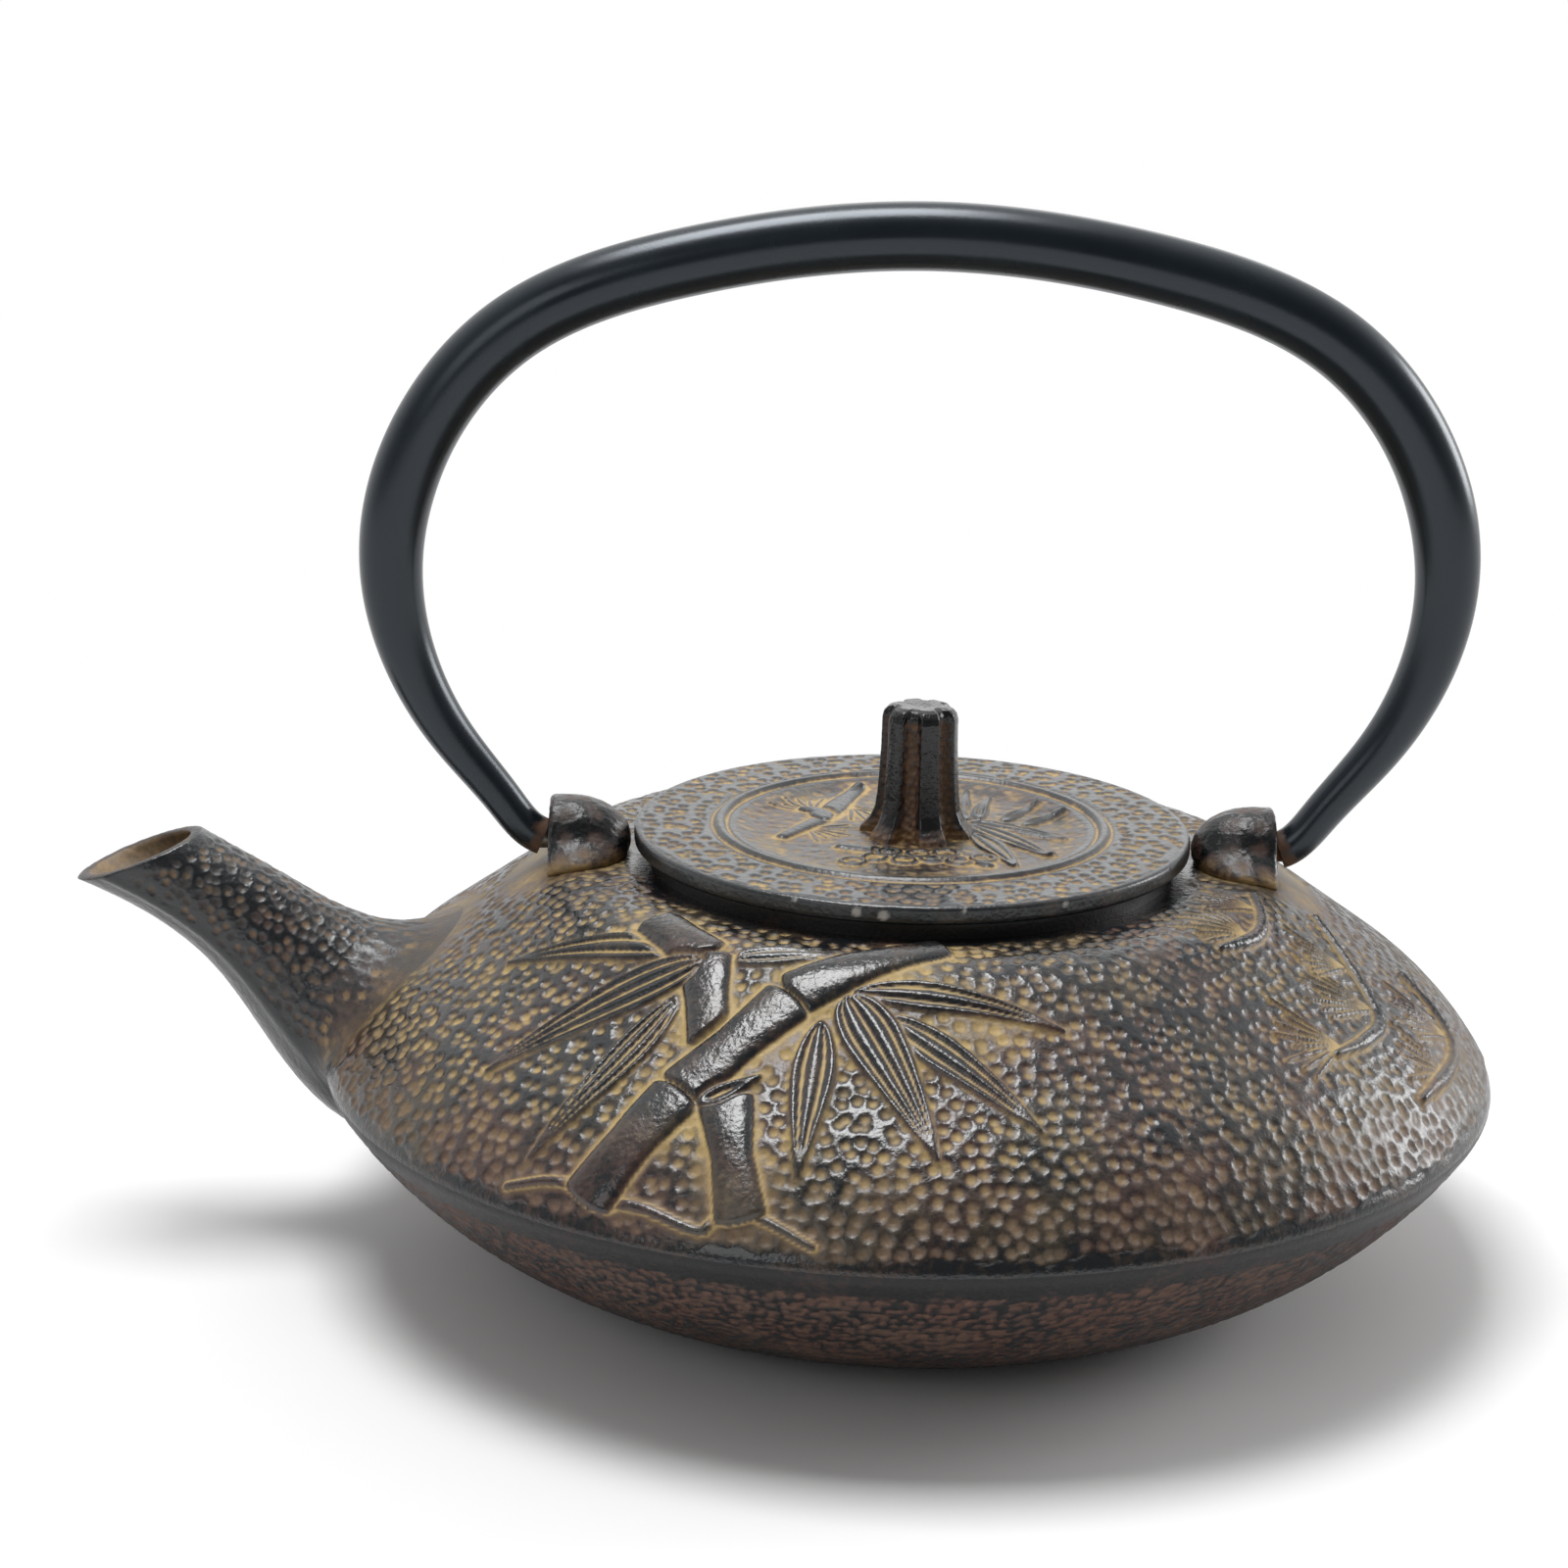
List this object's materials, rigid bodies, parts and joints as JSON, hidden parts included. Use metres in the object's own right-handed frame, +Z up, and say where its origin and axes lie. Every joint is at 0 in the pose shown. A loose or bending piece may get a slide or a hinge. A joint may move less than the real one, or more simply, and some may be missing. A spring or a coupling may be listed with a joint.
{
  "type": "teapot",
  "caption": "Flat round cast-iron teapot with a cast relief, a slanted spout, a lobed lid knob, a swinging bail handle and a lift-out mesh infuser.",
  "frame": {"origin": "middle of the flat resting face, on the axis of the round pot", "axes": "+Z up along the pot's axis, the spout points to -X, the bail lies in the XZ plane at rest"},
  "size_m": [0.1832, 0.1504, 0.1352],
  "materials": {
    "pot_iron": "lacquered, dark ridges over rubbed golden brown hollows",
    "lid_iron": "lacquered, dark ridges over rubbed golden brown hollows",
    "knob_iron": "lacquered black, grainy brown grooves",
    "bail_paint": "satin blue-black paint on rolled steel tube",
    "pin_steel": "bare steel, lightly rusted",
    "infuser_steel": "pressed stainless steel",
    "infuser_mesh": "fine woven stainless mesh"
  },
  "bodies": {
    "pot": {"pot_body": "pot_iron"},
    "bail": {"bail_tube": "bail_paint", "bail_pin_spout_side": "pin_steel", "bail_pin_rear_side": "pin_steel"},
    "infuser": {"infuser_rim": "infuser_steel", "infuser_wall": "infuser_mesh", "infuser_band": "infuser_steel", "infuser_base": "infuser_mesh"},
    "lid": {"lid": "lid_iron", "lid_knob": "knob_iron"}
  },
  "joints": [
    {"name": "bail_swing", "type": "hinge", "parent": "pot", "child": "bail", "pos_m": [0, 0, 0.0534], "axis": [1, 0, 0], "range_deg": [-104, 104]},
    {"name": "infuser_lift", "type": "slide", "parent": "pot", "child": "infuser", "axis": [0, 0, 1], "range_m": [0, 0.036]},
    {"name": "lid_lift", "type": "slide", "parent": "infuser", "child": "lid", "axis": [0, 0, 1], "range_m": [0, 0.016]}
  ]
}
